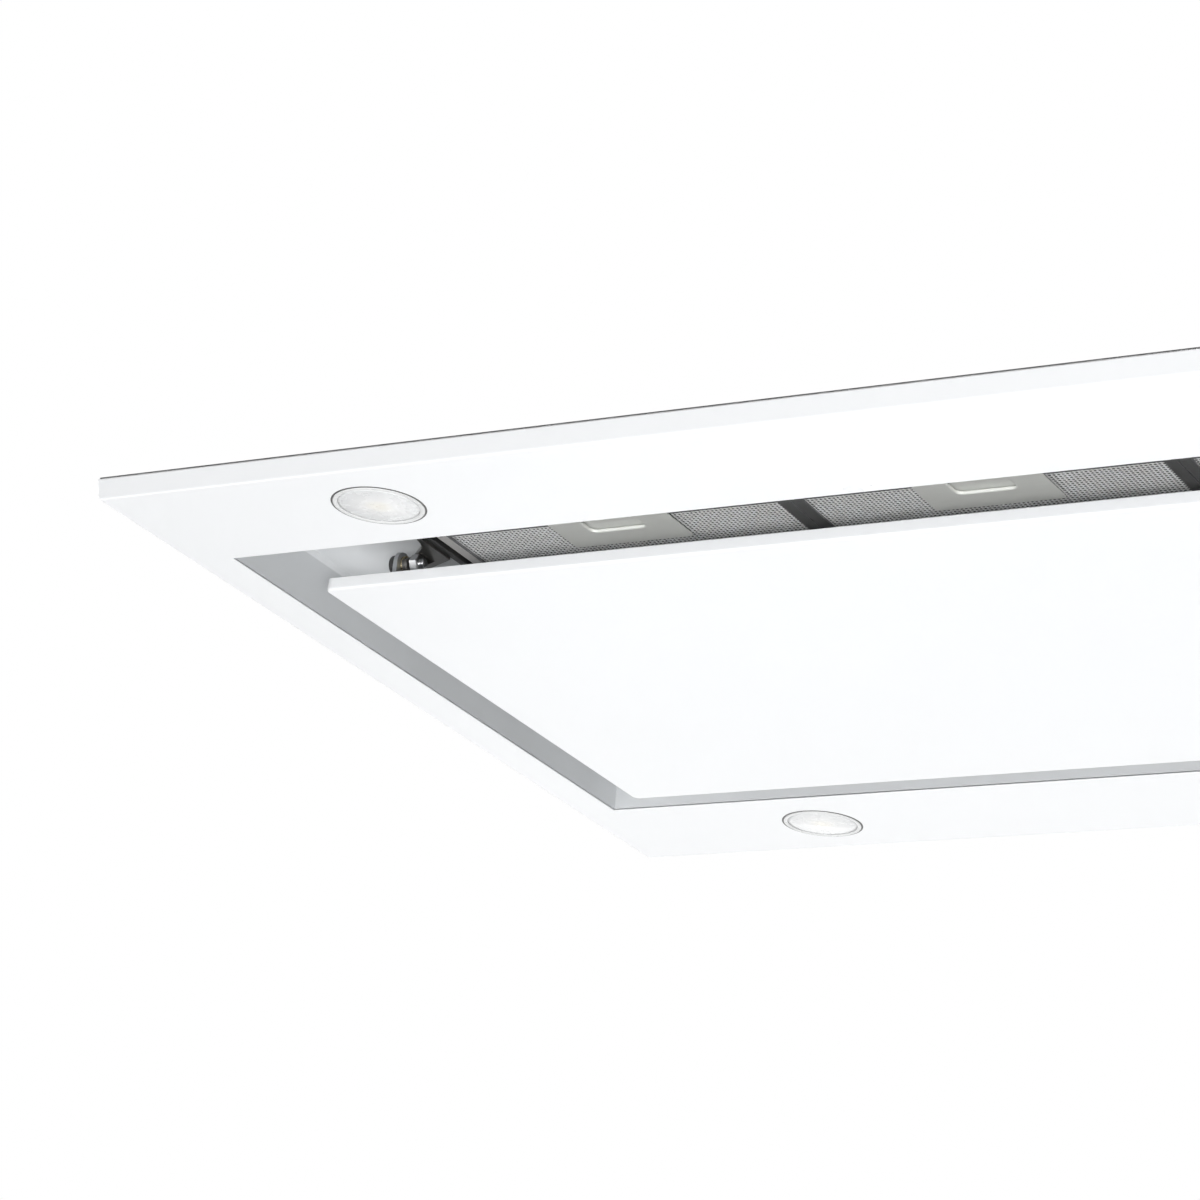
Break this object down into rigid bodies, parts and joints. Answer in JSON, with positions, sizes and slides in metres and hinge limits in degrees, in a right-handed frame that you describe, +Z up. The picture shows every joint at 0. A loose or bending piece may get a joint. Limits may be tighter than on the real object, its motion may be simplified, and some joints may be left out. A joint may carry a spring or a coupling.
{
  "type": "ceiling range hood",
  "caption": "White ceiling range hood with a hinged panel, suction slots on all sides, grease filters and round lamps.",
  "frame": {"origin": "centre of the hood on the ceiling plane, where the trim's lip meets the ceiling", "axes": "+X along the hood's length, -Y towards the front, where the panel opens, +Z up into the ceiling void"},
  "size_m": [1, 0.7, 0.322],
  "materials": {
    "white_paint": "smooth white powder coat with a soft gloss",
    "grey_paint": "light grey satin paint",
    "black_paint": "black satin paint",
    "dark_frame": "dark satin anodised",
    "mesh_metal": "woven bright mesh",
    "satin_metal": "satin, slightly warm grey",
    "dark_spring": "dark satin spring steel",
    "bright_steel": "bright plated",
    "galvanised": "galvanised sheet with a faint spangle",
    "grey_plastic": "grained grey moulding",
    "black_plastic": "matte black moulding",
    "white_plastic": "smooth white moulding",
    "frosted_lens": "frosted white lens",
    "cast_aluminium": "sandy cast surface",
    "circuit_board": "green board with moulded components"
  },
  "bodies": {
    "hood": {"trim_frame": "white_paint", "well_liner": "grey_paint", "filter_carrier": "black_paint", "filter_1_frame": "dark_frame", "filter_1_mesh": "mesh_metal", "filter_1_plate": "satin_metal", "filter_2_frame": "dark_frame", "filter_2_mesh": "mesh_metal", "filter_2_plate": "satin_metal", "filter_3_frame": "dark_frame", "filter_3_mesh": "mesh_metal", "filter_3_plate": "satin_metal", "plenum_box": "galvanised", "scroll_housing": "galvanised", "scroll_inlet": "galvanised", "motor_mount": "galvanised", "clamp_screw_1": "bright_steel", "clamp_screw_2": "bright_steel", "clamp_screw_3": "bright_steel", "clamp_screw_4": "bright_steel", "catch_clip_left": "dark_spring", "catch_clip_right": "dark_spring", "hinge_bracket_left": "dark_spring", "hinge_bracket_right": "dark_spring", "lamp_1_bezel": "white_plastic", "lamp_1_lens": "frosted_lens", "lamp_1_body": "cast_aluminium", "lamp_2_bezel": "white_plastic", "lamp_2_lens": "frosted_lens", "lamp_2_body": "cast_aluminium", "lamp_3_bezel": "white_plastic", "lamp_3_lens": "frosted_lens", "lamp_3_body": "cast_aluminium", "lamp_4_bezel": "white_plastic", "lamp_4_lens": "frosted_lens", "lamp_4_body": "cast_aluminium", "cable_gland": "black_plastic", "motor": "cast_aluminium", "duct_collar": "grey_plastic", "control_box": "grey_plastic", "control_cover": "grey_plastic", "control_board": "circuit_board"},
    "panel": {"panel_skin": "white_paint", "panel_cross_rail": "galvanised", "panel_rail_left": "galvanised", "panel_rail_right": "galvanised", "catch_pin_left": "bright_steel", "catch_pin_right": "bright_steel", "hinge_pin_left": "bright_steel", "hinge_pin_right": "bright_steel"},
    "latch_1": {"filter_1_latch": "satin_metal"},
    "latch_2": {"filter_2_latch": "satin_metal"},
    "latch_3": {"filter_3_latch": "satin_metal"},
    "fan": {"impeller": "black_plastic"},
    "flap_right": {"damper_flap_right": "black_plastic"},
    "flap_left": {"damper_flap_left": "black_plastic"},
    "strap_1": {"hanger_1": "galvanised"},
    "strap_2": {"hanger_2": "galvanised"},
    "strap_3": {"hanger_3": "galvanised"},
    "strap_4": {"hanger_4": "galvanised"}
  },
  "joints": [
    {"name": "panel_hinge", "type": "hinge", "parent": "hood", "child": "panel", "pos_m": [0, 0.19, 0.006], "axis": [1, 0, 0], "range_deg": [0, 90]},
    {"name": "latch_1_slide", "type": "slide", "parent": "hood", "child": "latch_1", "axis": [0, 1, 0], "range_m": [0, 0.004], "stiffness_N_per_m": 400, "springref_m": -0.004},
    {"name": "latch_2_slide", "type": "slide", "parent": "hood", "child": "latch_2", "axis": [0, 1, 0], "range_m": [0, 0.004], "stiffness_N_per_m": 400, "springref_m": -0.004},
    {"name": "latch_3_slide", "type": "slide", "parent": "hood", "child": "latch_3", "axis": [0, 1, 0], "range_m": [0, 0.004], "stiffness_N_per_m": 400, "springref_m": -0.004},
    {"name": "fan_spin", "type": "hinge", "parent": "hood", "child": "fan", "pos_m": [0, -0.022, 0.168], "axis": [0, 0, 1], "continuous": true},
    {"name": "flap_right_swing", "type": "hinge", "parent": "hood", "child": "flap_right", "pos_m": [0.086, 0.219, 0.171], "axis": [0, 0, 1], "range_deg": [0, 80], "stiffness_Nm_per_rad": 0.01, "springref_deg": -11.46},
    {"name": "flap_left_swing", "type": "hinge", "parent": "hood", "child": "flap_left", "pos_m": [0.086, 0.219, 0.171], "axis": [0, 0, -1], "range_deg": [0, 80], "stiffness_Nm_per_rad": 0.01, "springref_deg": -11.46},
    {"name": "strap_1_slide", "type": "slide", "parent": "hood", "child": "strap_1", "axis": [0, 0, 1], "range_m": [-0.03, 0.03]},
    {"name": "strap_2_slide", "type": "slide", "parent": "hood", "child": "strap_2", "axis": [0, 0, 1], "range_m": [-0.03, 0.03]},
    {"name": "strap_3_slide", "type": "slide", "parent": "hood", "child": "strap_3", "axis": [0, 0, 1], "range_m": [-0.03, 0.03]},
    {"name": "strap_4_slide", "type": "slide", "parent": "hood", "child": "strap_4", "axis": [0, 0, 1], "range_m": [-0.03, 0.03]}
  ]
}
